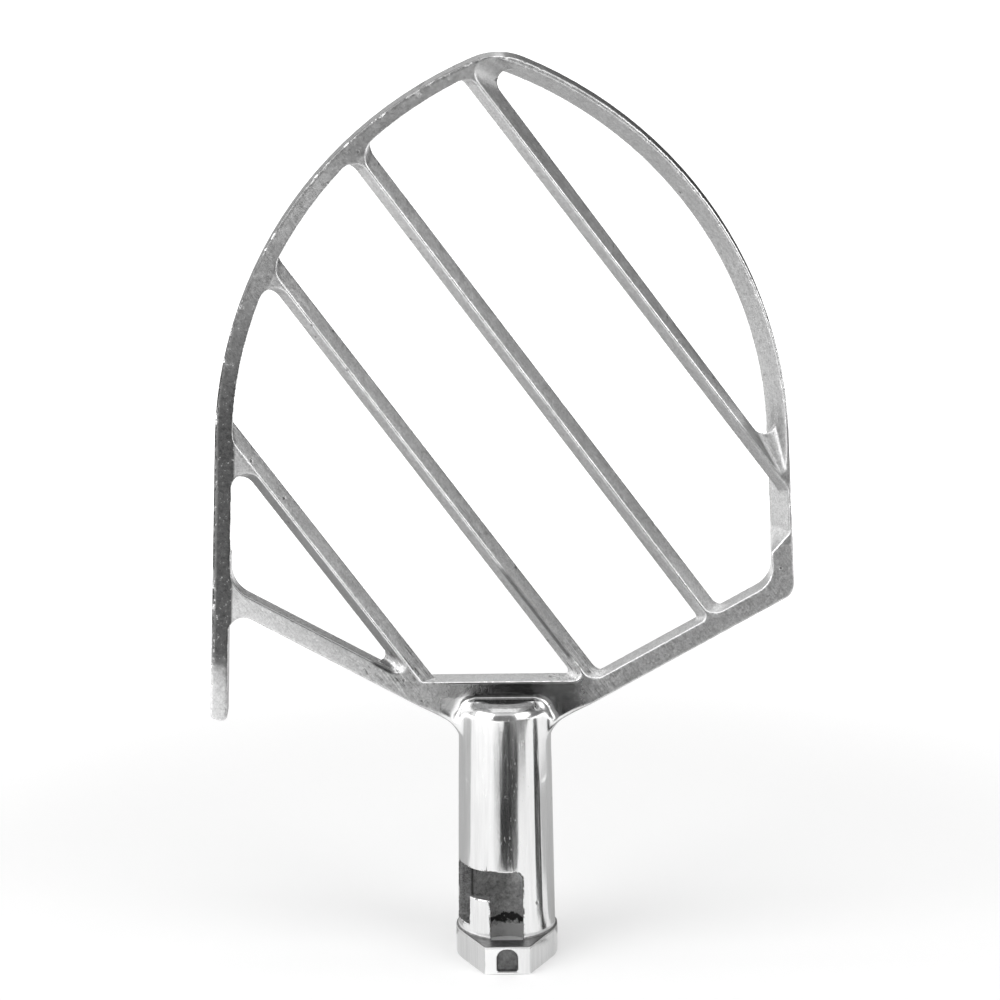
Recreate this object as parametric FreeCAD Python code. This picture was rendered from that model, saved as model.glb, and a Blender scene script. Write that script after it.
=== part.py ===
import FreeCAD, Part
import math
import os

# Flat beater for a planetary stand mixer: one aluminium casting, in millimetres.
# Z runs along the hub from its mouth (z = 0) to the blade's apex, the blade lies in the XZ plane,
# and the side with the bayonet slot faces -Y.
# A level is a depth in the blade: -1 is its front face, 0 its middle and 1 its back face.

# Blade outline
blade_thickness = 10.0
half_width = 101.9
arch_radius = 152.2
spring_height = 190.6
side_flare = math.radians(2.5)
apex_radius = 23.0
corner_radius = 6.0
tail_end = 91.5
tail_width = 6.1
tail_slant = math.radians(18.0)
tail_round = 2.0
tail_fillet = 5.5

# Rim, a wedge in section: the left one is wide on the front and bevelled on the back,
# and the right one is wide on the back and bevelled on the front
left_rim_width = 6.5
left_rim_apex = 3.2
right_rim_width = 7.7
edge_land = 0.8
apex_land = 2.4

# Where the bevels end, above the corners between the shoulders and the sides
bevel_stop = 15.3
bevel_run_out = 7.5

# Diagonal bars, diamonds in section: the first runs from below the apex to the right side, above its corner,
# the last one stands on the boss, left of the hub's axis, and the others are evenly spaced between them;
# the first one narrows downwards, as its ridge and lower edge are lifted at the side
bar_count = 4
bar_width = 8.3
bar_ridge = 0.6
first_bar_drop = 20.5
first_bar_rise = 35.0
first_bar_lift = 3.4
last_bar_foot = 30.2

# Shoulders and boss
shoulder_angle = math.radians(29.3)
shoulder_width = 7.3
shoulder_root = 78.6
shoulder_draft = 0.9
boss_top = 105.2
neck_fillet = 13.0
neck_inset = 0.6

# Rounded corners of the windows
lens_tip_round = 4.2
lens_tip_edge = 1.6
lens_top_round = 3.6
bevel_end_round = 5.7
crotch_round = 5.5
rim_round = 8.0
foot_round = 5.0
heel_round = 2.5
sharp_round = 1.0
right_corner_round = 10.0
left_corner_round = 11.0

# Hub tube, fillets up its sides, bore and collar
hub_height = 99.0
hub_mouth_radius = 17.9
hub_top_radius = 16.6
hub_round = 5.5
hub_fillet = 9.0
hub_fillet_top = 11.0
hub_fillet_fall = math.radians(48.0)
bore_radius = 12.7
bore_depth = 78.0
bore_point = 4.0
collar_height = 10.8
collar_radius = 18.6
collar_reach = 25.0
collar_flat = 16.4

# Bayonet slot for the cross pin of the mixer's shaft
pin_slot_width = 11.6
pin_slot_round = 3.0
turn_low = 25.4
turn_high = 36.2
turn_angle = 88.0
lock_low = 14.4
groove_reach = 18.0

# Round-topped pocket in the collar's front flat
dimple_width = 7.5
dimple_depth = 2.5
dimple_low = 1.2
dimple_high = 9.6
dimple_round = 3.4

# How far a cutting tool runs past the metal
past = 2.0

half = blade_thickness / 2.0
hub_axis = FreeCAD.Vector(0, 0, 1)
origin = FreeCAD.Vector(0, 0, 0)


class Straight:
    """A straight edge of a region, which lies on the side that the normal points to."""

    def __init__(self, normal, offset):
        self.normal = normal
        self.offset = offset

    def inset(self, distance):
        return Straight(self.normal, self.offset + distance)

    def turned_over(self):
        return Straight((-self.normal[0], -self.normal[1]), -self.offset)

    def foot(self, point):
        step = self.offset - point[0] * self.normal[0] - point[1] * self.normal[1]
        return (point[0] + step * self.normal[0], point[1] + step * self.normal[1])

    def heading(self, point):
        return (self.normal[1], -self.normal[0])

    def at_height(self, z):
        return ((self.offset - z * self.normal[1]) / self.normal[0], z)


class Round:
    """A round edge of a region, which lies inside the circle."""

    def __init__(self, centre, radius):
        self.centre = centre
        self.radius = radius

    def inset(self, distance):
        return Round(self.centre, self.radius - distance)

    def foot(self, point):
        dx = point[0] - self.centre[0]
        dz = point[1] - self.centre[1]
        share = self.radius / math.hypot(dx, dz)
        return (self.centre[0] + dx * share, self.centre[1] + dz * share)

    def heading(self, point):
        return (self.centre[1] - point[1], point[0] - self.centre[0])


def across(a, b):
    return a[0] * b[1] - a[1] * b[0]


def crossings(first, second):
    """Points where two edges cross."""
    if isinstance(first, Round) and isinstance(second, Straight):
        return crossings(second, first)
    if isinstance(second, Straight):
        a, b = first.normal, second.normal
        x = across((first.offset, a[1]), (second.offset, b[1])) / across(a, b)
        z = across((a[0], first.offset), (b[0], second.offset)) / across(a, b)
        return [(x, z)]
    if isinstance(first, Straight):
        middle = first.foot(second.centre)
        along = first.heading(middle)
        step = math.sqrt(second.radius ** 2 - math.dist(middle, second.centre) ** 2)
    else:
        apart = math.dist(first.centre, second.centre)
        toward = tuple((b - a) / apart for a, b in zip(first.centre, second.centre))
        share = (first.radius ** 2 - second.radius ** 2 + apart ** 2) / (2.0 * apart)
        middle = tuple(c + share * t for c, t in zip(first.centre, toward))
        along = (-toward[1], toward[0])
        step = math.sqrt(first.radius ** 2 - share ** 2)
    return [(middle[0] + s * along[0], middle[1] + s * along[1]) for s in (-step, step)]


def meeting(first, second):
    """The crossing where a walk with the region on its left leaves one edge for the next."""
    return max(crossings(first, second), key=lambda p: across(first.heading(p), second.heading(p)))


class Corner:
    """A corner between two edges, rounded by a radius; a hollow corner has a negative one."""

    def __init__(self, before, after, radius=0.0):
        centre = meeting(before.inset(radius), after.inset(radius))
        self.start = before.foot(centre)
        self.end = after.foot(centre)
        self.rounding = Round(centre, abs(radius)) if radius else None
        self.edge = after


class Knot:
    """A plain point on an outline, and the edge that follows it."""

    def __init__(self, point, edge):
        self.start = point
        self.end = point
        self.rounding = None
        self.edge = edge


def in_blade(y):
    return lambda point: FreeCAD.Vector(point[0], y, point[1])


def in_plan(point):
    return FreeCAD.Vector(point[0], point[1], 0)


def outline(nodes, place):
    """Closed wire through corners and knots in the order given, on the plane that place gives."""

    def join(start, end, edge):
        if isinstance(edge, Round):
            middle = edge.foot(tuple((a + b) / 2.0 for a, b in zip(start, end)))
            return Part.Arc(place(start), place(middle), place(end)).toShape()
        return Part.LineSegment(place(start), place(end)).toShape()

    edges = []
    for node, following in zip(nodes, nodes[1:] + nodes[:1]):
        if node.rounding:
            edges.append(join(node.start, node.end, node.rounding))
        edges.append(join(node.end, following.start, node.edge))
    return Part.Wire(edges)


def slab(nodes, front, back):
    """Plate between two depths y with the outline of the nodes."""
    return Part.Face(outline(nodes, in_blade(front))).extrude(FreeCAD.Vector(0, back - front, 0))


def turning(nodes):
    """Solid of revolution about the hub's axis from an outline of radius and height."""
    return Part.Face(outline(nodes, in_blade(0.0))).revolve(origin, hub_axis, 360)


def left_of(x):
    return Straight((-1.0, 0.0), -x)


def right_of(x):
    return Straight((1.0, 0.0), x)


def over(z):
    return Straight((0.0, 1.0), z)


def under(z):
    return Straight((0.0, -1.0), -z)


# Edges of the blade's outline, with the blade on their inner side; sign is -1 left and 1 right

def arch(sign):
    return Round((sign * (half_width - arch_radius), spring_height), arch_radius)


def side(sign):
    """Straight side below the arch, tangent to it."""
    normal = (-sign * math.cos(side_flare), -math.sin(side_flare))
    centre = arch(sign).centre
    return Straight(normal, normal[0] * centre[0] + normal[1] * centre[1] - arch_radius)


def spring(sign, edge):
    """Knot where the arch and the side touch."""
    return Knot(side(sign).foot(arch(sign).centre), edge)


def shoulder(sign):
    """Lower edge of a shoulder, which rises from the hub's axis."""
    normal = (-sign * math.sin(shoulder_angle), math.cos(shoulder_angle))
    return Straight(normal, normal[1] * shoulder_root)


def apex():
    """Point where the two arches cross."""
    return meeting(arch(1), arch(-1))


def corner_height(sign):
    """Height of the corner between a shoulder and its side."""
    return crossings(shoulder(sign), side(sign))[0][1]


def blade_outline():
    neck_half = math.sqrt(hub_top_radius ** 2 - half ** 2) - neck_inset
    neck_left, neck_right = right_of(-neck_half), left_of(neck_half)
    neck_foot = over(shoulder_root - neck_fillet)
    tail_inner = side(-1).inset(tail_width).turned_over()
    tail_middle = side(-1).inset(tail_width / 2.0).at_height(tail_end)
    slant = (math.sin(tail_slant), math.cos(tail_slant))
    tail_foot = Straight(slant, slant[0] * tail_middle[0] + slant[1] * tail_middle[1])
    return [
        Corner(arch(1), arch(-1), apex_radius),
        spring(-1, side(-1)),
        Corner(side(-1), tail_foot, tail_round),
        Corner(tail_foot, tail_inner, tail_round),
        Corner(tail_inner, shoulder(-1), -tail_fillet),
        Corner(shoulder(-1), neck_left, -neck_fillet),
        Corner(neck_left, neck_foot),
        Corner(neck_foot, neck_right),
        Corner(neck_right, shoulder(1), -neck_fillet),
        Corner(shoulder(1), side(1), corner_radius),
        spring(1, arch(1)),
    ]


# Edges of the windows at a level of the blade, with the window on their inner side

def at_level(front, back, level):
    """Straight taper between a front and a back value."""
    return (front + back) / 2.0 + level * (back - front) / 2.0


def bar_line(index, lift):
    """Middle of a bar, with the window above it on its inner side and its end at the side lifted."""
    upper = (0.0, apex()[1] - first_bar_drop)
    lower = side(1).at_height(corner_height(1) + first_bar_rise + lift)
    length = math.dist(upper, lower)
    normal = ((upper[1] - lower[1]) / length, (lower[0] - upper[0]) / length)
    first = upper[1] * normal[1]
    last = boss_top * normal[1] - last_bar_foot * normal[0]
    return Straight(normal, first + (last - first) * index / (bar_count - 1))


def bar_edges(index, level):
    """Edges of the windows above and below a bar."""
    reach = (bar_width if level == 0 else bar_ridge) / 2.0
    lower = bar_line(index, 0.0 if index else first_bar_lift)
    upper = lower if level else bar_line(index, 0.0)
    return upper.inset(reach), lower.inset(-reach).turned_over()


def arch_rim(sign, at_apex, at_side):
    """Inner edge of the rim under the arch, with its own width at the apex and at the side."""
    inner = arch(sign).inset(at_apex)
    inner.centre = (inner.centre[0] + sign * (at_apex - at_side), inner.centre[1])
    return inner


def bevel_foot(sign, full, width):
    """Inner edges of a straight side above and below its bevel's foot, and the foot's two end points."""
    upper, lower = side(sign).inset(width), side(sign).inset(full)
    stop = corner_height(sign) + bevel_stop
    return upper, lower, upper.at_height(stop + bevel_run_out), lower.at_height(stop)


def windows(level):
    """Corners of the five windows at a level, from the lens under the right arch to the lower left."""
    above, below = zip(*[bar_edges(index, level) for index in range(bar_count)])
    left_wide = at_level(left_rim_width, edge_land, level)
    right_wide = at_level(edge_land, right_rim_width, level)
    left = arch_rim(-1, at_level(left_rim_apex, edge_land, level), left_wide)
    right = arch_rim(1, at_level(apex_land, right_rim_width, level), right_wide)
    left_upper, left_lower, left_high, left_low = bevel_foot(-1, left_rim_width, left_wide)
    right_upper, right_lower, right_high, right_low = bevel_foot(1, right_rim_width, right_wide)
    left_floor = shoulder(-1).inset(shoulder_width - at_level(0.0, shoulder_draft, level))
    right_floor = shoulder(1).inset(shoulder_width)
    boss = over(boss_top)
    lens = [
        Corner(above[0], right, lens_tip_edge if level else lens_tip_round),
        Corner(right, above[0], at_level(bevel_end_round, lens_top_round, level)),
    ]
    floors = [
        [
            Corner(above[1], right_floor, foot_round),
            Corner(right_floor, right_lower, right_corner_round),
            Knot(right_low, None),
            Knot(right_high, right_upper),
            Corner(right_upper, below[0], sharp_round),
        ],
        [
            Corner(above[2], right_floor, foot_round),
            Corner(right_floor, below[1], heel_round),
        ],
        [
            Corner(above[3], boss, sharp_round),
            Corner(boss, below[2], heel_round),
        ],
    ]
    between_bars = [
        [Corner(below[index], left, crotch_round), Corner(left, above[index + 1], rim_round)] + floor
        for index, floor in enumerate(floors)
    ]
    lower_left = [
        Corner(below[-1], left_upper, crotch_round),
        Knot(left_high, None),
        Knot(left_low, left_lower),
        Corner(left_lower, left_floor, left_corner_round),
        Corner(left_floor, below[-1], heel_round),
    ]
    return [lens] + between_bars + [lower_left]


def window_tools():
    """Solid of each window, spread between its outlines at the faces and the middle of the blade."""
    depths = [(-1, -half - past), (-1, -half), (0, 0.0), (1, half), (1, half + past)]
    sections = [[outline(nodes, in_blade(y)) for nodes in windows(level)] for level, y in depths]
    return [Part.makeLoft(list(wires), True, True) for wires in zip(*sections)]


def blade():
    return slab(blade_outline(), -half, half).cut(window_tools())


# Hub

def tube():
    """Tapered barrel with a rounded upper edge."""
    lean = math.atan2(hub_mouth_radius - hub_top_radius, hub_height)
    wall = Straight((-math.cos(lean), -math.sin(lean)), -hub_mouth_radius * math.cos(lean))
    axis, mouth, top = right_of(0.0), over(0.0), under(hub_height)
    corners = [Corner(axis, mouth), Corner(mouth, wall), Corner(wall, top, hub_round), Corner(top, axis)]
    return turning(corners)


def neck():
    """Fillets up the tube's sides, where it meets the faces of the blade, which fall away from its top."""
    reach = hub_top_radius + hub_fillet
    depth = half + hub_fillet
    spread = math.sqrt(reach ** 2 - depth ** 2)
    share = hub_top_radius / reach
    nodes = []
    for sx, sy in ((-1, -1), (1, -1), (1, 1), (-1, 1)):
        hollow = Round((sx * spread, sy * depth), hub_fillet)
        on_plate = Knot((sx * spread, sy * half), None)
        on_tube = Knot((sx * spread * share, sy * depth * share), None)
        ends = [on_plate, on_tube] if sx == sy else [on_tube, on_plate]
        ends[0].edge = hollow
        nodes += ends
    column = Part.Face(outline(nodes, in_plan)).extrude(hub_axis * hub_height)
    eave = hub_height - (collar_reach - hub_fillet_top) * math.tan(hub_fillet_fall)
    right_half = [(collar_reach, 0.0), (collar_reach, eave), (hub_fillet_top, hub_height)]
    left_half = [(-x, z) for x, z in reversed(right_half)]
    gable = [Knot(point, None) for point in right_half + left_half]
    column = column.common(slab(gable, -collar_reach, collar_reach))
    return column.common(slab(blade_outline(), -collar_reach, collar_reach))


def collar():
    """Ring at the mouth, drawn out to a flat in front of the pin's groove."""
    flat = collar_flat / 2.0
    ring = Round((0.0, 0.0), collar_radius)
    angle = math.atan2(-collar_reach, flat) + math.acos(collar_radius / math.hypot(flat, collar_reach))
    touch = (collar_radius * math.cos(angle), collar_radius * math.sin(angle))
    nodes = [
        Knot((-flat, -collar_reach), None),
        Knot((flat, -collar_reach), None),
        Knot(touch, ring),
        Knot((0.0, collar_radius), ring),
        Knot((-touch[0], touch[1]), None),
    ]
    return Part.Face(outline(nodes, in_plan)).extrude(hub_axis * collar_height)


def bore():
    """Blind socket for the shaft, with the point that a drill leaves."""
    nodes = [(0, -past), (bore_radius, -past), (bore_radius, bore_depth), (0, bore_depth + bore_point)]
    return turning([Knot(point, None) for point in nodes])


def sector(start, end, low, high):
    """Block about the hub's axis between two angles, measured from the front towards the left."""
    reach = collar_reach + past
    nodes = [Knot(point, None) for point in ((0, low), (reach, low), (reach, high), (0, high))]
    face = Part.Face(outline(nodes, in_blade(0.0)))
    face.rotate(origin, hub_axis, -90.0 - end)
    return face.revolve(origin, hub_axis, end - start)


def doorway(width, low, high, right_round=0.0, left_round=0.0):
    """Corners of an upright opening about the hub's axis, with rounded upper corners."""
    left, right = right_of(-width / 2.0), left_of(width / 2.0)
    return [
        Corner(left, over(low)),
        Corner(over(low), right),
        Corner(right, under(high), right_round),
        Corner(under(high), left, left_round),
    ]


def bayonet_slot():
    """Way in for the pin from the mouth, the turn to the left and the seat that it drops back into."""
    way_in = doorway(pin_slot_width, -past, collar_height)
    leg = doorway(pin_slot_width, collar_height, turn_high, pin_slot_round)
    seat_angle = math.degrees(pin_slot_width / hub_mouth_radius)
    return [
        slab(way_in, -groove_reach, 0.0),
        slab(leg, -collar_reach, 0.0),
        sector(0.0, turn_angle, turn_low, turn_high),
        sector(turn_angle - seat_angle, turn_angle, lock_low, turn_high),
    ]


def dimple():
    nodes = doorway(dimple_width, dimple_low, dimple_high, dimple_round, dimple_round)
    return slab(nodes, -collar_reach - past, -collar_reach + dimple_depth)


def flat_beater():
    metal = blade().fuse([neck(), tube(), collar()])
    metal = metal.cut([bore()] + bayonet_slot() + [dimple()])
    return metal.removeSplitter()


os.makedirs("parts", exist_ok=True)
flat_beater().exportStep("parts/flat_beater.step")
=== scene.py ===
import math

import bpy
import numpy as np
from mathutils import Matrix, Vector, noise


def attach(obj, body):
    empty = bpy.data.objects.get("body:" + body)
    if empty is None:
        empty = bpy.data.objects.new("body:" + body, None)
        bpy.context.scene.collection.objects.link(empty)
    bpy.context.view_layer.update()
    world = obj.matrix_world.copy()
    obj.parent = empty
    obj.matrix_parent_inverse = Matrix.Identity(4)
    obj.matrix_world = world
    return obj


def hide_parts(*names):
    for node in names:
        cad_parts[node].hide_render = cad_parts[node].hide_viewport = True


# Flat beater for a planetary stand mixer, in metres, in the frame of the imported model.
# Z runs up the hub's axis to the tip of the arch, and the side with the bayonet slot faces -Y.

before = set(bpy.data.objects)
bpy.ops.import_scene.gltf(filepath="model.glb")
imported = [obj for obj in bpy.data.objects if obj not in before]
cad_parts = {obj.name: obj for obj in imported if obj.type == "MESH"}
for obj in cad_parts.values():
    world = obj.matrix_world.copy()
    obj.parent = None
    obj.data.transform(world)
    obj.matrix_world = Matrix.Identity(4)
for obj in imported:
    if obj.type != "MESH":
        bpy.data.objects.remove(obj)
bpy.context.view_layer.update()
MM = 0.001

# Casting: a rounded copy of the solid, soft where the hub runs into the blade and nicked along its edges
VOXEL = 0.36 * MM
SMOOTHING = 0.5
TUMBLE_ROUNDS = 5
NECK_ROUNDS = 110
TRIANGLES = 180000

# Where the blend of the neck starts and where it is full, in millimetres outward and up
NECK_INNER = (10.0, 14.0)
NECK_OUTER = (32.0, 24.0)
NECK_LOWER = (68.0, 78.0)
NECK_UPPER = (104.0, 99.0)
LEAST_WEIGHT = 0.01

# Nicks: the edges that take them, their depth on the outline and the part of it inside,
# and two sizes of noise, each with the level that it has to pass
NICK_CURVE = 0.16
NICK_DEPTH = 1.0 * MM
INNER_NICKS = 0.2
OUTLINE_BAND = 2.0 * MM
NICK_SCALE = 330.0
NICK_SIZES = ((1.0, 0.38), (3.1, 0.45))

# Lines of the blade that the finish follows
ARCH_CENTRE = 50.3 * MM
ARCH_RADIUS = 152.2 * MM
SPRING_HEIGHT = 190.6 * MM
SIDE_FLARE = math.radians(2.5)
SHOULDER_ANGLE = math.radians(29.3)
BAR_ANGLE = math.radians(54.0)

# Ridges of the bars, in millimetres across them, and the width over which painted shade comes in on the
# flank beside a ridge
FIRST_RIDGE = 184.2
RIDGE_PITCH = -48.97
FLANK_EDGE = 0.6

# Roots of the bars where the grinder turned: x, z and reach in millimetres
ROOTS = ((27.0, 108.0, 15.0), (-33.0, 109.0, 12.0), (-44.0, 110.0, 10.0))

# Patterns of the metal: cycles in a metre, by axis where they are stretched, then detail and roughness
PATCHES = (55.0, 3.0, 0.5)
RAGGED = (180.0, 4.0, 0.6)
MOTTLE = (560.0, 5.0, 0.7)
GRAIN = (1700.0, 3.0, 0.6)
BELT_MARKS = ((90.0, 1800.0, 1800.0), 3.0, 0.6)
WHEEL_MARKS = ((700.0, 700.0, 45.0), 4.0, 0.65)
SCRATCHES = ((1900.0, 1900.0, 330.0), 3.0, 0.6)

# Tones of the finish, from 0 for black to 1 for white; a pair is the tone low and high on the arch
BLADE_TONE = 0.62
# Painted highlight on the front of the left shoulder
LEFT_FRONT_PAINTED_LIGHT = 0.16
# Painted shade on one flank beside a ridge
FLANK_SHADE_TONE = 0.26
LENS_TIP_TONE = 0.20
SCORED_TONE = 0.95
GOUGED_TONE = 0.14
GROOVE_TONE = 0.10
SCRAPED_TONES = (0.13, 0.56)
SCRAPED_MOTTLE = (0.22, 0.40)
FLECK_TONE = 0.90
# Painted shade on the outer walls
LEFT_WALL_SHADE_TONES = (0.24, 0.42)
RIGHT_WALL_SHADE_TONE = 0.20
# Painted shade on the left shoulder's rounded upper edge
SHOULDER_EDGE_SHADE_TONE = 0.34
BRINK_TONE = 0.85
BRINK_SHARES = (0.8, 0.5)
BOSS_TONE = 0.46
HUB_TONE = 0.84
COLLAR_TONE = 0.64
# Painted highlight on the collar's front flat
COLLAR_RIGHT_HIGHLIGHT_TONE = 0.84
COLLAR_LEFT_HIGHLIGHT_TONE = 1.0
# Painted shade on the collar's upward faces and on the ledge at the tube's top
COLLAR_BEVEL_SHADE_TONE = 0.30
COLLAR_TOP_SHADE_TONE = 0.16
LEDGE_SHADE_TONE = 0.30
# Edges painted bright, partly wear and partly painted highlight, and painted shade in hollows
WEAR_AND_GLINT_TONE = 0.93
HOLLOW_SHADE_TONE = 0.22
DEEP_GOUGE_TONE = 0.05
POCKET_TONE = 0.14
GRIME_TONE = 0.58
SLOT_WALL_TONE = 0.18
# Painted light in the bore's mouth
MOUTH_LIGHT_TONE = 0.85
CRACK_TONE = 0.04
SLOT_RIM_TONE = 0.06
PIT_TONE = 0.10
DARKEST = 0.04
LIGHTEST = 0.95

# Roughness of the finish, and how much of the metal is covered by the grime and by the mouth's painted light
BLADE_ROUGHNESS = 0.40
BOSS_ROUGHNESS = 0.09
HUB_ROUGHNESS = 0.17
COLLAR_FRONT_ROUGHNESS = 0.06
COLLAR_TOP_ROUGHNESS = 0.5
WORN_ROUGHNESS = 0.24
GRIME_ROUGHNESS = 0.65
GRIME_COVER = 0.85

# Pits and the casting's grain, as relief
PIT_SCALE = 170.0
PIT_SIZE = (0.14, 0.05)
PIT_CHANCE = (0.66, 0.70)
PIT_DEPTH = 1.2
POLISHED_RELIEF = 0.10
BUMP_STRENGTH = 0.5
BUMP_DEPTH = 0.25 * MM

# Studio: the light of the room and the floor's size, colour and glow, near the beater and far from it
ROOM_LIGHT = 0.55
FLOOR_SIZE = 4.0
FLOOR_COLOUR = 0.9
FLOOR_GLOW = (0.12, 0.8)
FLOOR_FADE = (0.2, 0.7)
CARD_LIFT = 0.5 * MM
LAMP_AIM = Vector((0.0, 0.0, 150.0)) * MM

# Camera: the photograph's frame is square
CAMERA_DISTANCE = 1500 * MM
CAMERA_ELEVATION = math.radians(15.7)
CAMERA_ROLL = math.radians(0.62)
CAMERA_TARGET = Vector((-0.85, 0.0, 171.8)) * MM
SENSOR = 36.0
FOCAL_RATIO = 4.2


class Graph:
    """Short way to write shader nodes: a socket, a number or a colour can feed any input."""

    def __init__(self, tree):
        self.tree = tree
        tree.nodes.clear()

    def node(self, kind, inputs=None, **settings):
        made = self.tree.nodes.new(kind)
        for name, value in settings.items():
            setattr(made, name, value)
        for name, value in (inputs or {}).items():
            self.feed(made.inputs[name], value)
        return made

    def feed(self, socket, value):
        if isinstance(value, bpy.types.NodeSocket):
            self.tree.links.new(value, socket)
        else:
            socket.default_value = value

    def math(self, operation, *values):
        made = self.node("ShaderNodeMath", operation=operation)
        for socket, value in zip(made.inputs, values):
            self.feed(socket, value)
        return made.outputs[0]

    def chain(self, operation, values):
        total = values[0]
        for value in values[1:]:
            total = self.math(operation, total, value)
        return total

    def add(self, *values):
        return self.chain("ADD", values)

    def times(self, *values):
        return self.chain("MULTIPLY", values)

    def most(self, *values):
        return self.chain("MAXIMUM", values)

    def less(self, a, b):
        return self.math("SUBTRACT", a, b)

    def outside(self, area):
        return self.less(1.0, area)

    def step(self, value, start, end):
        """0 at start and before it, 1 at end and past it, smooth between."""
        made = self.node("ShaderNodeMapRange", interpolation_type="SMOOTHSTEP")
        for name, given in (("Value", value), ("From Min", start), ("From Max", end)):
            self.feed(made.inputs[name], given)
        return made.outputs["Result"]

    def mix(self, share, a, b):
        made = self.node("ShaderNodeMix", data_type="FLOAT")
        for socket, value in zip(made.inputs[:1] + made.inputs[2:4], (share, a, b)):
            self.feed(socket, value)
        return made.outputs[0]

    def noise(self, place, scale, detail, roughness):
        """Noise about zero."""
        given = {"Vector": place, "Scale": scale, "Detail": detail, "Roughness": roughness}
        return self.less(self.node("ShaderNodeTexNoise", given).outputs["Fac"], 0.5)

    def stretched(self, parts, scales, detail, roughness):
        """Noise about zero with a scale of its own along each of three directions."""
        given = {axis: self.times(part, scale) for axis, part, scale in zip("XYZ", parts, scales)}
        return self.noise(self.node("ShaderNodeCombineXYZ", given).outputs[0], 1.0, detail, roughness)

    def parts(self, vector):
        return self.node("ShaderNodeSeparateXYZ", {"Vector": vector}).outputs

    def length(self, x, y):
        return self.math("SQRT", self.add(self.times(x, x), self.times(y, y)))

    def grey(self, value):
        given = {"Red": value, "Green": value, "Blue": value}
        return self.node("ShaderNodeCombineColor", given).outputs["Color"]


def ridge(index):
    """Place of a bar's ridge across the bars, in millimetres."""
    return FIRST_RIDGE + index * RIDGE_PITCH


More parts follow.
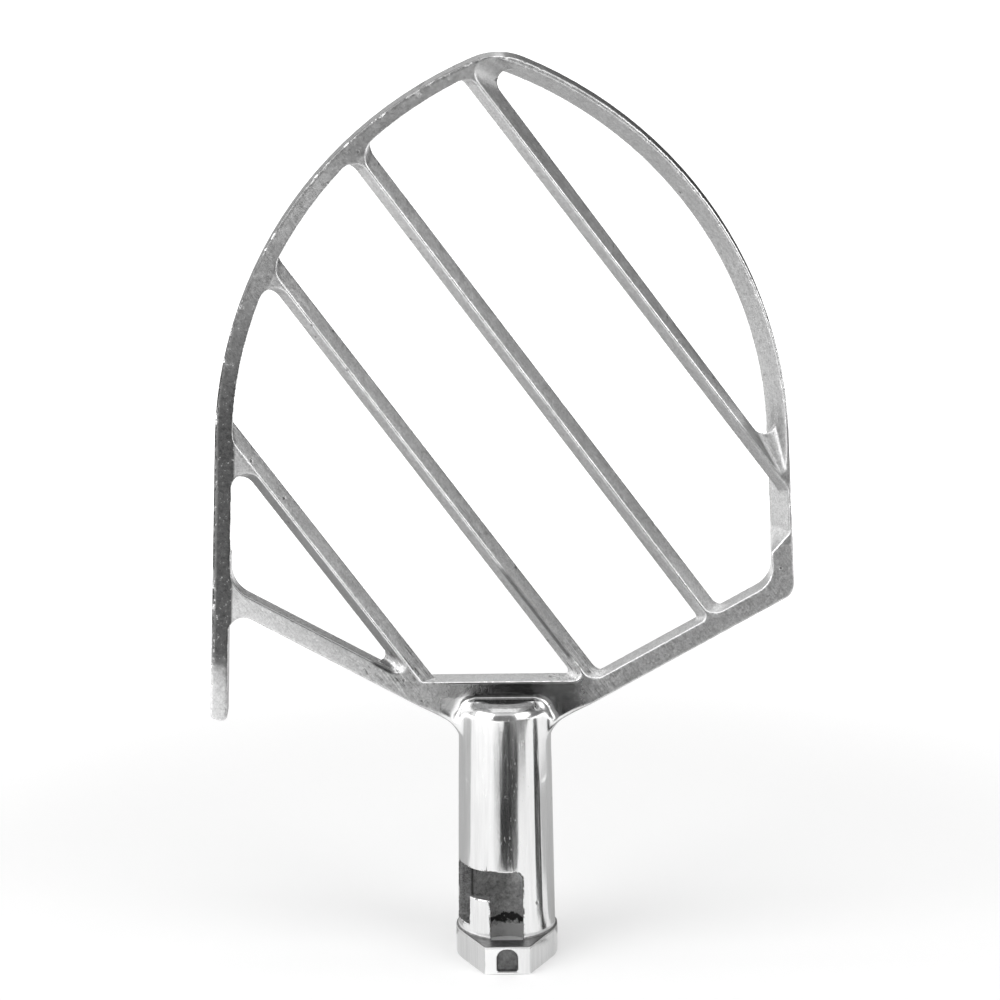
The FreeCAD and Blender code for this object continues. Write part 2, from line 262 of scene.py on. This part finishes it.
class Finish(Graph):
    """Shader graph of the casting: its coordinates, patterns and areas, and the finish that they make."""

    def __init__(self, tree):
        super().__init__(tree)
        self.place = self.node("ShaderNodeTexCoord").outputs["Object"]
        self.edge = self.node("ShaderNodeAttribute", attribute_name="edge").outputs["Fac"]
        self.x, self.y, self.z = self.parts(self.place)
        self.set_coordinates()
        self.set_normals()
        self.set_patterns()
        self.front = self.turned(ny=(-0.8, -0.95))
        self.mark_hub()
        self.mark_slot()
        self.mark_rim()
        self.mark_bars()
        self.mark_shoulders()
        self.mark_wear_glint_and_shade()

    def set_coordinates(self):
        """Distances that bound the areas: about the hub, in from the outline, along bars and shoulders."""
        x, y, z = self.x, self.y, self.z
        along = self.less(self.times(x, math.cos(BAR_ANGLE)), self.times(z, math.sin(BAR_ANGLE)))
        across = self.add(self.times(x, math.sin(BAR_ANGLE)), self.times(z, math.cos(BAR_ANGLE)))
        self.at = {
            "x": x,
            "y": y,
            "z": z,
            "wide": self.math("ABSOLUTE", x),
            "radius": self.length(x, y),
            "over_spring": self.less(z, SPRING_HEIGHT),
            "left_depth": self.depth(-1.0),
            "right_depth": self.depth(1.0),
            "left_slope": self.slope(-1.0),
            "right_slope": self.slope(1.0),
            "along": along,
            "across": across,
        }

    def depth(self, sign):
        """Distance in from the outline on the left, with sign -1, or on the right, with sign 1."""
        rise = self.most(self.less(self.z, SPRING_HEIGHT), 0.0)
        drop = self.most(self.less(SPRING_HEIGHT, self.z), 0.0)
        off = self.add(ARCH_CENTRE, self.times(self.x, sign))
        under_arch = self.less(ARCH_RADIUS, self.length(off, rise))
        return self.add(under_arch, self.times(drop, math.tan(SIDE_FLARE)))

    def slope(self, sign):
        """Distance square to a shoulder, from the hub's foot."""
        run = self.times(self.x, sign * math.sin(SHOULDER_ANGLE))
        return self.less(self.times(self.z, math.cos(SHOULDER_ANGLE)), run)

    def set_normals(self):
        nx, ny, nz = self.parts(self.node("ShaderNodeNewGeometry").outputs["Normal"])
        away = self.add(self.times(self.x, nx), self.times(self.y, ny))
        outward = self.math("DIVIDE", away, self.at["radius"])
        self.normal = {"nx": nx, "ny": ny, "nz": nz, "outward": outward}

    def set_patterns(self):
        """Patterns of the metal, the last two as the grinding belt and the polishing wheel leave them."""
        by_bar = (self.at["along"], self.y, self.at["across"])
        self.pattern = {
            "patches": self.noise(self.place, *PATCHES),
            "ragged": self.noise(self.place, *RAGGED),
            "mottle": self.noise(self.place, *MOTTLE),
            "grain": self.noise(self.place, *GRAIN),
            "streak": self.stretched(by_bar, *BELT_MARKS),
            "smear": self.stretched((self.x, self.y, self.z), *WHEEL_MARKS),
        }

    def area(self, **limits):
        """Product of ramps along coordinates, in millimetres: where each is 0 and 1, or 0, 1, 1 and 0."""
        ramps = []
        for name, ends in limits.items():
            places = [end * MM for end in ends]
            ramps.append(self.step(self.at[name], *places[:2]))
            if len(places) > 2:
                ramps.append(self.step(self.at[name], *places[:1:-1]))
        return self.times(*ramps)

    def turned(self, **limits):
        """Product of ramps along parts of the surface normal: where each is 0 and where it is 1."""
        return self.times(*[self.step(self.normal[name], *ends) for name, ends in limits.items()])

    def varied(self, base, **amounts):
        """A value that patterns vary by the amounts given."""
        return self.add(base, *[self.times(self.pattern[name], amount) for name, amount in amounts.items()])

    def coat(self, under, area, over, share=None):
        """One value laid over another on an area, as far as the share says."""
        cover = area if share is None else self.times(area, share)
        return self.mix(cover, under, over)

    def by_height(self, ends):
        """A value that changes from the sides to the upper arch."""
        return self.mix(self.high, *ends)

    def mark_hub(self):
        """Polished hub, collar and boss, with the scratches up the middle of the hub."""
        self.hub = self.most(self.area(radius=(26.0, 21.0), z=(100.0, 99.0)), self.area(z=(14.0, 12.0)))
        self.neck = self.area(wide=(9.0, 11.0, 26.0, 30.0), z=(76.0, 80.0, 100.0, 102.0))
        self.ledge = self.area(wide=(14.0, 11.5), z=(95.5, 97.5, 100.5, 101.5))
        self.boss = self.times(self.front, self.area(x=(-27.0, -12.0, 22.0, 37.0), z=(112.0, 107.0)))
        self.collar = self.area(z=(11.5, 10.0))
        self.collar_front = self.turned(ny=(-0.9, -0.97))
        self.collar_top = self.area(z=(9.6, 10.2, 11.8, 12.6))
        self.upward = self.turned(nz=(0.4, 0.7))
        lines = self.step(self.stretched((self.x, self.y, self.z), *SCRATCHES), 0.12, 0.21)
        groups = self.step(self.pattern["ragged"], -0.05, 0.06)
        self.scratch = self.times(lines, groups, self.area(wide=(10.0, 7.0), y=(0.0, -2.0)))

    def mark_slot(self):
        """Bore, slot and the collar's pocket, which hold old grime, painted light on the slot's lit end, and
        the bore's mouth, clean of grime and painted bright as light that comes in through it.
        """
        self.bore = self.area(radius=(13.2, 12.9), z=(84.0, 83.0))
        frayed = self.add(self.z, self.varied(0.0, ragged=8.0 * MM))
        # The bore's mouth, which is painted bright as light that comes in through it
        self.mouth = self.times(self.bore, self.step(frayed, 6.0 * MM, 4.5 * MM))
        crack_height = self.varied(7.3 * MM, ragged=11.0 * MM, mottle=5.0 * MM)
        from_crack = self.math("ABSOLUTE", self.less(self.z, crack_height))
        self.crack = self.times(self.bore, self.step(from_crack, 1.8 * MM, 0.7 * MM))
        # Painted light on the slot's lit end
        self.lit_end = self.area(x=(-1.0, 5.5), z=(19.0, 26.0))
        wall = self.area(radius=(18.6, 17.6), y=(4.0, 3.0), z=(40.0, 37.0))
        self.slot_wall = self.times(wall, self.turned(outward=(0.75, 0.45)))
        self.grime = self.most(self.less(self.bore, self.mouth), self.slot_wall)
        rim = self.area(radius=(16.0, 17.0), y=(3.0, 2.0), z=(13.0, 14.0, 38.0, 40.0))
        speckled = self.step(self.varied(0.0, ragged=1.0, mottle=0.6), -0.06, 0.02)
        self.slot_rim = self.times(rim, self.step(self.edge, 0.04, 0.16), speckled)
        self.pocket = self.area(wide=(4.2, 3.9), y=(-24.9, -24.5, -22.2, -21.5), z=(10.4, 10.0))

    def mark_rim(self):
        """Left rim, scraped dark by the bowl down to a ragged end on the tail, and both outer walls, painted
        darker as shade.
        """
        self.high = self.area(over_spring=(5.0, 95.0))
        left_rim = self.times(self.front, self.area(left_depth=(7.5, 6.5)))
        low_end = self.add(self.z, self.varied(0.0, ragged=18.0 * MM), self.times(self.x, 0.8))
        self.scraped = self.times(left_rim, self.step(low_end, 18.0 * MM, 38.0 * MM))
        specks = self.step(self.varied(0.0, mottle=1.0, grain=0.5), 0.14, 0.20)
        self.fleck = self.times(self.scraped, self.outside(self.high), specks)
        self.chip = self.step(self.varied(0.0, ragged=1.0, mottle=0.5), 0.08, 0.13)
        from_brink = self.add(self.at["left_depth"], self.varied(0.0, ragged=1.6 * MM))
        brink = self.times(left_rim, self.step(from_brink, 1.5 * MM, 0.8 * MM), self.chip)
        self.brink = self.times(brink, self.by_height(BRINK_SHARES))
        # Outer walls, which are painted darker as shade
        self.shaded_left_wall = self.area(x=(4.0, -4.0), left_depth=(1.6, 0.9), z=(112.0, 132.0))
        shaded_right_wall = self.area(x=(-4.0, 4.0), right_depth=(1.3, 0.7), over_spring=(-42.0, -36.0))
        self.shaded_right_wall = self.times(shaded_right_wall, self.turned(ny=(-0.85, -0.55)))

    def mark_bars(self):
        """Painted shade on the flank beside two ridges that faces one way, and the grinding belt's marks on
        a ridge, the roots and a window's tip.
        """
        first = ridge(0)
        third = ridge(2)
        fourth = ridge(3)
        # Painted shade on the flank that faces one way, beside the first and the fourth ridge
        upper_flank_shade = self.area(across=(first, first + FLANK_EDGE), z=(250.0, 305.0))
        lower_flank_shade = self.area(across=(fourth, fourth - FLANK_EDGE), z=(108.0, 112.0))
        self.flank_shade = self.most(self.times(upper_flank_shade, self.turned(nx=(0.15, 0.3)), 0.8),
                             self.times(lower_flank_shade, self.turned(nx=(-0.15, -0.3))))
        groove = self.area(across=(third - 1.1, third - 0.5, third + 0.5, third + 1.1),
                           z=(112.0, 115.0, 144.0, 152.0))
        self.groove = self.times(groove, self.turned(ny=(-0.2, -0.4)))
        self.lens_tip = self.area(x=(82.0, 88.0), z=(176.0, 180.0, 198.0, 204.0))
        self.roots = self.most(*[self.root(*root) for root in ROOTS])
        marks = self.varied(0.0, streak=1.0, mottle=0.6)
        self.scored = self.times(self.roots, self.step(marks, 0.06, 0.14))
        self.gouged = self.times(self.roots, self.step(marks, -0.09, -0.17))

    def root(self, x, z, reach):
        """Round area at the root of a bar, through the blade, in millimetres."""
        middle = self.node("ShaderNodeCombineXYZ", {"X": x * MM, "Y": self.y, "Z": z * MM}).outputs[0]
        measure = self.node("ShaderNodeVectorMath", {0: self.place, 1: middle}, operation="DISTANCE")
        return self.step(measure.outputs["Value"], reach * MM, 0.5 * reach * MM)

    def mark_shoulders(self):
        """Front of the left shoulder, painted lighter as a highlight, upper edges of both, the left one
        painted darker as shade, and the gouge in the left one.
        """
        # Front of the left shoulder, which takes a painted highlight
        self.lit_left_front = self.times(self.front, self.area(x=(-35.0, -75.0), z=(165.0, 155.0)))
        # Upper edge of the left shoulder, painted darker as shade where it is rounded
        self.shaded_shoulder_edge = self.area(left_slope=(72.6, 73.6, 78.4, 79.4), x=(-34.0, -40.0))
        right_edge = self.area(right_slope=(71.6, 72.6, 79.4, 80.4), x=(26.0, 30.0))
        self.right_edge = self.times(right_edge, 0.6)
        gouge = self.area(left_slope=(74.2, 75.1, 76.9, 77.8), x=(-49.0, -46.0, -41.5, -39.0))
        self.deep_gouge = self.times(gouge, self.turned(ny=(-0.3, -0.6)))

    def mark_wear_glint_and_shade(self):
        """Edges painted bright, partly as wear and partly as a painted highlight, apart from those that are
        kept dull, and painted shade in hollows.
        """
        tip = self.times(self.area(over_spring=(120.0, 130.0)), 0.8)
        unchipped = self.times(self.shaded_left_wall, self.outside(self.chip))
        pocket_rim = self.area(wide=(6.4, 5.4), y=(-20.0, -21.0), z=(11.0, 10.4))
        boss_edge = self.area(wide=(34.0, 30.0), z=(102.5, 103.5, 106.5, 107.5))
        boss_edge = self.times(boss_edge, self.step(self.pattern["mottle"], 0.06, -0.04))
        kept_dull = self.most(unchipped, self.shaded_shoulder_edge, self.ledge, tip, self.neck, self.collar_top,
                              pocket_rim, self.right_edge, self.lens_tip, boss_edge, self.groove,
                              self.deep_gouge, self.times(self.roots, 0.7))
        # Bright edges, partly wear and partly painted highlight
        proud = self.add(self.edge, self.varied(0.0, ragged=0.45))
        wear_and_glint = self.step(proud, 0.20, 0.45)
        self.wear_and_glint = self.times(wear_and_glint, self.outside(self.grime), self.outside(kept_dull))
        # Painted shade in hollows
        self.hollow_shade = self.times(self.step(self.edge, -0.05, -0.4), self.outside(self.neck))
        self.rounded = self.step(self.edge, 0.05, 0.22)

    def blade_tone(self):
        tone = self.varied(BLADE_TONE, patches=0.06, mottle=0.42, grain=0.62, streak=0.26)
        # Painted highlight: the front of the left shoulder is made lighter.
        tone = self.add(tone, self.times(self.lit_left_front, LEFT_FRONT_PAINTED_LIGHT))
        # Painted shade on one flank beside two ridges.
        tone = self.coat(tone, self.flank_shade, FLANK_SHADE_TONE, share=0.55)
        lens_flank = self.times(self.lens_tip, self.turned(nx=(0.0, 0.25)))
        tone = self.coat(tone, lens_flank, LENS_TIP_TONE, share=0.7)
        tone = self.coat(tone, self.scored, SCORED_TONE, share=0.7)
        tone = self.coat(tone, self.gouged, GOUGED_TONE, share=0.8)
        tone = self.coat(tone, self.groove, GROOVE_TONE, share=0.8)
        mottling = self.by_height(SCRAPED_MOTTLE)
        scraped = self.varied(self.by_height(SCRAPED_TONES), mottle=mottling, grain=0.16)
        scraped = self.add(scraped, self.times(self.pattern["patches"], self.high, 0.6))
        tone = self.coat(tone, self.scraped, scraped)
        tone = self.coat(tone, self.fleck, FLECK_TONE, share=0.8)
        # Painted shade on both outer walls: darker low on the arch and on the left wall's rounded edges.
        shaded_left_wall = self.varied(self.by_height(LEFT_WALL_SHADE_TONES), mottle=0.30)
        tone = self.coat(tone, self.shaded_left_wall, self.add(shaded_left_wall, self.times(self.rounded, -0.18)))
        tone = self.coat(tone, self.shaded_right_wall, self.varied(RIGHT_WALL_SHADE_TONE, mottle=0.20))
        # Painted shade on the left shoulder's rounded upper edge.
        tone = self.coat(tone, self.times(self.shaded_shoulder_edge, self.rounded), SHOULDER_EDGE_SHADE_TONE)
        return self.coat(tone, self.brink, BRINK_TONE)

    def hub_tone(self, tone):
        # Painted light: the right side of the boss is made lighter.
        boss_right = self.times(self.area(x=(8.0, 22.0)), 0.28)
        tone = self.coat(tone, self.boss, self.add(self.varied(BOSS_TONE, mottle=0.30), boss_right))
        # Painted highlight on the collar's front flat, brightest on its left.
        front = self.mix(self.area(x=(4.0, -3.0)), COLLAR_RIGHT_HIGHLIGHT_TONE, COLLAR_LEFT_HIGHLIGHT_TONE)
        collar = self.coat(COLLAR_TONE, self.collar_front, front)
        # Painted shade on the collar's upward faces.
        collar = self.coat(collar, self.upward, COLLAR_BEVEL_SHADE_TONE)
        polished = self.varied(self.mix(self.collar, HUB_TONE, collar), smear=0.30)
        tone = self.coat(tone, self.hub, self.add(polished, self.times(self.scratch, 0.10)))
        # Painted shade on the ledge at the tube's top and on the collar's flat top.
        tone = self.coat(tone, self.ledge, self.varied(LEDGE_SHADE_TONE, mottle=0.3))
        shaded_flat_top = self.times(self.collar_top, self.upward)
        return self.coat(tone, shaded_flat_top, self.varied(COLLAR_TOP_SHADE_TONE, mottle=0.3))

    def wear_glint_and_shade_tone(self, tone):
        # Bright edges are partly wear and partly painted highlight; hollows take painted shade.
        tone = self.coat(tone, self.wear_and_glint, WEAR_AND_GLINT_TONE)
        tone = self.coat(tone, self.hollow_shade, HOLLOW_SHADE_TONE, share=0.45)
        return self.coat(tone, self.deep_gouge, DEEP_GOUGE_TONE, share=0.9)

    def grimy_and_lit_tone(self, tone):
        tone = self.coat(tone, self.pocket, self.varied(POCKET_TONE, mottle=0.5), share=0.9)
        grime = self.varied(GRIME_TONE, ragged=0.9, mottle=1.1, grain=0.6)
        # Painted light: the slot's lit end is made lighter.
        tone = self.coat(tone, self.grime, self.add(grime, self.times(self.lit_end, 0.55)))
        tone = self.coat(tone, self.slot_wall, self.varied(SLOT_WALL_TONE, smear=0.4, ragged=0.4, grain=0.4))
        # Painted light: the bore's mouth is painted bright, more on its right half, as light that comes in
        # through it.
        mouth = self.varied(MOUTH_LIGHT_TONE, ragged=0.9, mottle=0.5)
        tone = self.coat(tone, self.mouth, self.add(mouth, self.times(self.area(x=(-2.0, 3.0)), 0.35)))
        tone = self.coat(tone, self.crack, CRACK_TONE)
        return self.coat(tone, self.slot_rim, SLOT_RIM_TONE, share=0.9)

    def tone(self, pits):
        tone = self.grimy_and_lit_tone(self.wear_glint_and_shade_tone(self.hub_tone(self.blade_tone())))
        tone = self.math("MINIMUM", self.most(tone, DARKEST), LIGHTEST)
        return self.coat(tone, pits, PIT_TONE, share=0.7)

    def roughness(self):
        rough = self.varied(BLADE_ROUGHNESS, mottle=0.30, grain=0.20, streak=0.18)
        boss_right = self.times(self.area(x=(6.0, 16.0)), 0.10)
        rough = self.coat(rough, self.boss, self.add(self.varied(BOSS_ROUGHNESS, mottle=0.12), boss_right))
        hub = self.varied(HUB_ROUGHNESS, smear=0.22)
        rough = self.coat(rough, self.hub, self.add(hub, self.times(self.scratch, 0.34)))
        rough = self.coat(rough, self.times(self.collar, self.collar_front), COLLAR_FRONT_ROUGHNESS)
        rough = self.coat(rough, self.collar_top, COLLAR_TOP_ROUGHNESS)
        rough = self.coat(rough, self.wear_and_glint, WORN_ROUGHNESS)
        return self.coat(rough, self.most(self.grime, self.pocket), GRIME_ROUGHNESS)

    def bare_metal(self):
        return self.outside(self.times(self.add(self.grime, self.mouth), GRIME_COVER))

    def pits(self):
        """Sparse round pits."""
        given = {"Vector": self.place, "Scale": PIT_SCALE, "Randomness": 1.0}
        cells = self.node("ShaderNodeTexVoronoi", given)
        chance = self.node("ShaderNodeSeparateColor", {"Color": cells.outputs["Color"]}).outputs["Red"]
        return self.times(self.step(cells.outputs["Distance"], *PIT_SIZE), self.step(chance, *PIT_CHANCE))

    def relief(self, pits):
        """Normal of the surface with the casting's grain, which polishing takes off, and with pits."""
        grain = self.varied(0.0, grain=0.45, streak=0.40, mottle=0.8)
        left_over = self.mix(self.most(self.hub, self.boss), 1.0, POLISHED_RELIEF)
        height = self.less(self.times(grain, left_over), self.times(pits, PIT_DEPTH))
        given = {"Height": height, "Strength": BUMP_STRENGTH, "Distance": BUMP_DEPTH}
        return self.node("ShaderNodeBump", given).outputs["Normal"]


def aluminium():
    """Cast aluminium: mottled and ground on the blade, polished on the hub, grimy in the slot."""
    material = bpy.data.materials.new("cast_aluminium")
    material.use_nodes = True
    finish = Finish(material.node_tree)
    pits = finish.pits()
    shader = finish.node("ShaderNodeBsdfPrincipled", {
        "Base Color": finish.grey(finish.tone(pits)),
        "Roughness": finish.roughness(),
        "Metallic": finish.bare_metal(),
        "Normal": finish.relief(pits),
    })
    finish.node("ShaderNodeOutputMaterial", {"Surface": shader.outputs["BSDF"]})
    return material


def rounded_copy(node):
    """The node's solid with its edges rounded as tumbling leaves them, at an even fine mesh."""
    piece = bpy.data.objects.new("beater_casting", node.data.copy())
    bpy.context.scene.collection.objects.link(piece)
    remesh = piece.modifiers.new("voxels", "REMESH")
    remesh.mode = "VOXEL"
    remesh.voxel_size = VOXEL
    tumble = piece.modifiers.new("tumble", "SMOOTH")
    tumble.factor = SMOOTHING
    tumble.iterations = TUMBLE_ROUNDS
    bake_modifiers(piece)
    soften_neck(piece)
    nick_edges(piece.data)
    thin = piece.modifiers.new("thin", "DECIMATE")
    thin.ratio = TRIANGLES / (2.0 * len(piece.data.polygons))
    bake_modifiers(piece)
    piece.data.shade_smooth()
    return piece


def bake_modifiers(piece):
    shown = piece.evaluated_get(bpy.context.evaluated_depsgraph_get())
    mesh = bpy.data.meshes.new_from_object(shown)
    piece.modifiers.clear()
    piece.data = mesh


def rows(collection, name, width, kind=np.float32):
    """A mesh property of every element, as an array with a row each."""
    values = np.empty(len(collection) * width, kind)
    collection.foreach_get(name, values)
    return values.reshape(-1, width)


def fade(value, start, end):
    """0 at start and before it, 1 at end and past it, smooth between."""
    share = np.clip((value - start) / (end - start), 0.0, 1.0)
    return share * share * (3.0 - 2.0 * share)


def soften_neck(piece):
    """Runs the hub's sides and the shoulders into each other."""
    x, _, z = rows(piece.data.vertices, "co", 3).T / MM
    out = np.abs(x)
    weight = fade(out, *NECK_INNER) * fade(out, *NECK_OUTER) * fade(z, *NECK_LOWER) * fade(z, *NECK_UPPER)
    neck = piece.vertex_groups.new(name="neck")
    for index in np.nonzero(weight > LEAST_WEIGHT)[0]:
        neck.add([int(index)], float(weight[index]), "REPLACE")
    blend = piece.modifiers.new("blend", "SMOOTH")
    blend.factor = SMOOTHING
    blend.iterations = NECK_ROUNDS
    blend.vertex_group = neck.name
    bake_modifiers(piece)
    piece.vertex_groups.clear()


def edge_curve(mesh):
    """How far each vertex stands proud of its neighbours: positive on edges, negative in hollows."""
    count = len(mesh.vertices)
    place = rows(mesh.vertices, "co", 3)
    normal = rows(mesh.vertex_normals, "vector", 3)
    ends = rows(mesh.edges, "vertices", 2, np.int32)
    ends = np.concatenate([ends, ends[:, ::-1]])
    gap = place[ends[:, 1]] - place[ends[:, 0]]
    length = np.linalg.norm(gap, axis=1)
    bend = -np.sum(gap * normal[ends[:, 0]], axis=1) / np.maximum(length, 1e-9) ** 2
    total = np.bincount(ends[:, 0], bend, count)
    return MM * total / np.maximum(np.bincount(ends[:, 0], minlength=count), 1)


def nick_edges(mesh):
    """Bites small nicks out of the sharp edges, most of all along the outline."""
    place = rows(mesh.vertices, "co", 3)
    normal = rows(mesh.vertex_normals, "vector", 3)
    x, _, z = place.T
    outline = ARCH_RADIUS + np.maximum(SPRING_HEIGHT - z, 0.0) * math.tan(SIDE_FLARE)
    inside = outline - np.hypot(ARCH_CENTRE + np.abs(x), np.maximum(z - SPRING_HEIGHT, 0.0))
    depth = NICK_DEPTH * np.where(inside < OUTLINE_BAND, 1.0, INNER_NICKS)
    for index in np.nonzero(edge_curve(mesh) > NICK_CURVE)[0]:
        spot = Vector(place[index]) * NICK_SCALE
        bite = sum(max(0.0, noise.noise(spot * size) - level) for size, level in NICK_SIZES)
        place[index] -= normal[index] * bite * depth[index]
    mesh.vertices.foreach_set("co", place.ravel())
    mesh.update()


def mark_edges(mesh):
    """Keeps the curve of the edges with the mesh, for the wear, the painted highlights on edges and the
    painted shade in hollows in the material.
    """
    stored = mesh.attributes.new("edge", "FLOAT", "POINT")
    stored.data.foreach_set("value", edge_curve(mesh).astype(np.float32))


def plain_material(name, colour):
    material = bpy.data.materials.new(name)
    material.use_nodes = True
    g = Graph(material.node_tree)
    shader = g.node("ShaderNodeBsdfDiffuse", {"Color": (colour, colour, colour, 1.0)})
    g.node("ShaderNodeOutputMaterial", {"Surface": shader.outputs["BSDF"]})
    return material


def seen_directly(g):
    """1 for rays from the camera, mirrors and glass, which see the background."""
    path = g.node("ShaderNodeLightPath").outputs
    return g.most(path["Is Camera Ray"], path["Is Glossy Ray"], path["Is Transmission Ray"])


def room():
    """White room that lights the beater less than it shows."""
    world = bpy.data.worlds.new("studio")
    bpy.context.scene.world = world
    world.use_nodes = True
    g = Graph(world.node_tree)
    strength = g.mix(seen_directly(g), ROOM_LIGHT, 1.0)
    light = g.node("ShaderNodeBackground", {"Color": (1.0, 1.0, 1.0, 1.0), "Strength": strength})
    g.node("ShaderNodeOutputWorld", {"Surface": light.outputs["Background"]})


def floor_paper():
    """Pale paper, which shows the beater's shadow and runs out to the white of the room."""
    material = bpy.data.materials.new("floor")
    material.use_nodes = True
    g = Graph(material.node_tree)
    place = g.node("ShaderNodeTexCoord").outputs["Object"]
    away = g.node("ShaderNodeVectorMath", {0: place}, operation="LENGTH").outputs["Value"]
    glow = g.times(seen_directly(g), g.mix(g.step(away, *FLOOR_FADE), *FLOOR_GLOW))
    paper = g.node("ShaderNodeBsdfDiffuse", {"Color": (FLOOR_COLOUR, FLOOR_COLOUR, FLOOR_COLOUR, 1.0)})
    white = g.node("ShaderNodeEmission", {"Strength": glow})
    both = g.node("ShaderNodeAddShader", {0: paper.outputs["BSDF"], 1: white.outputs["Emission"]})
    g.node("ShaderNodeOutputMaterial", {"Surface": both.outputs["Shader"]})
    return material


def sheet(name, corners, material):
    mesh = bpy.data.meshes.new(name)
    mesh.from_pydata([Vector(c) for c in corners], [], [tuple(range(len(corners)))])
    made = bpy.data.objects.new(name, mesh)
    bpy.context.scene.collection.objects.link(made)
    mesh.materials.append(material)
    return made


def card(name, material, corners):
    """Card out of the picture, which only shows in what the metal mirrors."""
    made = sheet(name, corners, material)
    made.visible_camera = False
    made.visible_diffuse = False
    made.visible_shadow = False


def on_floor(name, material, corners, lift=CARD_LIFT):
    """Card on the floor, with its corners in millimetres."""
    card(name, material, [(x * MM, y * MM, lift) for x, y in corners])


def upright(name, material, start, end, height):
    """Standing card from one floor point to another, in millimetres."""
    foot = [(*start, 0.0), (*end, 0.0)]
    top = [(*end, height), (*start, height)]
    card(name, material, [Vector(corner) * MM for corner in foot + top])


def cards():
    """Cards around the beater that its polished and burnished faces mirror."""
    black = plain_material("black_card", 0.03)
    dark = plain_material("dark_card", 0.21)
    dim = plain_material("dim_card", 0.26)
    grey = plain_material("grey_card", 0.55)
    over = 2.0 * CARD_LIFT
    on_floor("front_card", dim,
             [(-900, -680), (-60, -640), (0, -560), (900, -560), (900, -1600), (-900, -1600)])
    on_floor("right_front_card", dim, [(42, -190), (600, -190), (600, -560), (42, -560)])
    on_floor("near_card", black,
             [(-32, -105), (40, -105), (126, -265), (66, -300),
              (66, -560), (-18, -560), (-18, -290), (-102, -276)], lift=over)
    on_floor("back_card", grey, [(-330, 14), (-330, 350), (220, 350), (220, 14)])
    on_floor("sliver_card", black, [(30, -8), (400, -115), (400, -10), (30, -1)], lift=over)
    upright("camera_flag", dim, (-900, -1650), (900, -1650), height=1300)
    upright("right_flag", dark, (1200, -700), (1200, 1650), height=1500)
    upright("back_right_flag", black, (160, 1650), (1200, 1650), height=900)
    upright("back_left_flag", grey, (-1500, 1650), (160, 1650), height=700)


def softbox(name, azimuth, elevation, distance, width, height, radiance):
    """Area lamp that faces the beater; azimuth is measured in degrees from the front towards +X."""
    lamp = bpy.data.lights.new(name, "AREA")
    lamp.shape = "RECTANGLE"
    lamp.size = width
    lamp.size_y = height
    lamp.energy = radiance * math.pi * width * height
    made = bpy.data.objects.new(name, lamp)
    bpy.context.scene.collection.objects.link(made)
    turn = math.radians(azimuth)
    lift = math.radians(elevation)
    level = math.cos(lift)
    away = Vector((math.sin(turn) * level, -math.cos(turn) * level, math.sin(lift)))
    made.location = LAMP_AIM + distance * away
    made.rotation_mode = "QUATERNION"
    made.rotation_quaternion = (-away).to_track_quat("-Z", "Y")
    made.visible_camera = False


def studio():
    """White room, pale floor, mirrored cards and three soft lamps."""
    bpy.context.scene.view_settings.view_transform = "Standard"
    room()
    size = FLOOR_SIZE
    sheet("floor", [(-size, -size, 0), (size, -size, 0), (size, size, 0), (-size, size, 0)], floor_paper())
    cards()
    softbox("left_softbox", azimuth=-55, elevation=22, distance=1.3, width=1.0, height=0.9, radiance=2.2)
    softbox("right_softbox", azimuth=50, elevation=22, distance=1.3, width=0.8, height=0.9, radiance=1.8)
    softbox("top_softbox", azimuth=0, elevation=80, distance=1.5, width=1.4, height=1.0, radiance=1.6)


def camera():
    level = math.cos(CAMERA_ELEVATION)
    lift = math.sin(CAMERA_ELEVATION)
    back = Vector((0.0, -level, lift))
    up = Vector((0.0, lift, level))
    across = Vector((1.0, 0.0, 0.0))
    turn = math.cos(CAMERA_ROLL)
    tip = math.sin(CAMERA_ROLL)
    axes = Matrix((turn * across - tip * up, tip * across + turn * up, back)).transposed()
    data = bpy.data.cameras.new("camera")
    data.sensor_width = SENSOR
    data.lens = FOCAL_RATIO * SENSOR
    made = bpy.data.objects.new("camera", data)
    bpy.context.scene.collection.objects.link(made)
    made.matrix_world = Matrix.Translation(CAMERA_TARGET + CAMERA_DISTANCE * back) @ axes.to_4x4()
    bpy.context.scene.camera = made


casting = rounded_copy(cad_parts["flat_beater"])
mark_edges(casting.data)
casting.data.materials.clear()
casting.data.materials.append(aluminium())
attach(casting, "root")
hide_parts("flat_beater")
studio()
camera()
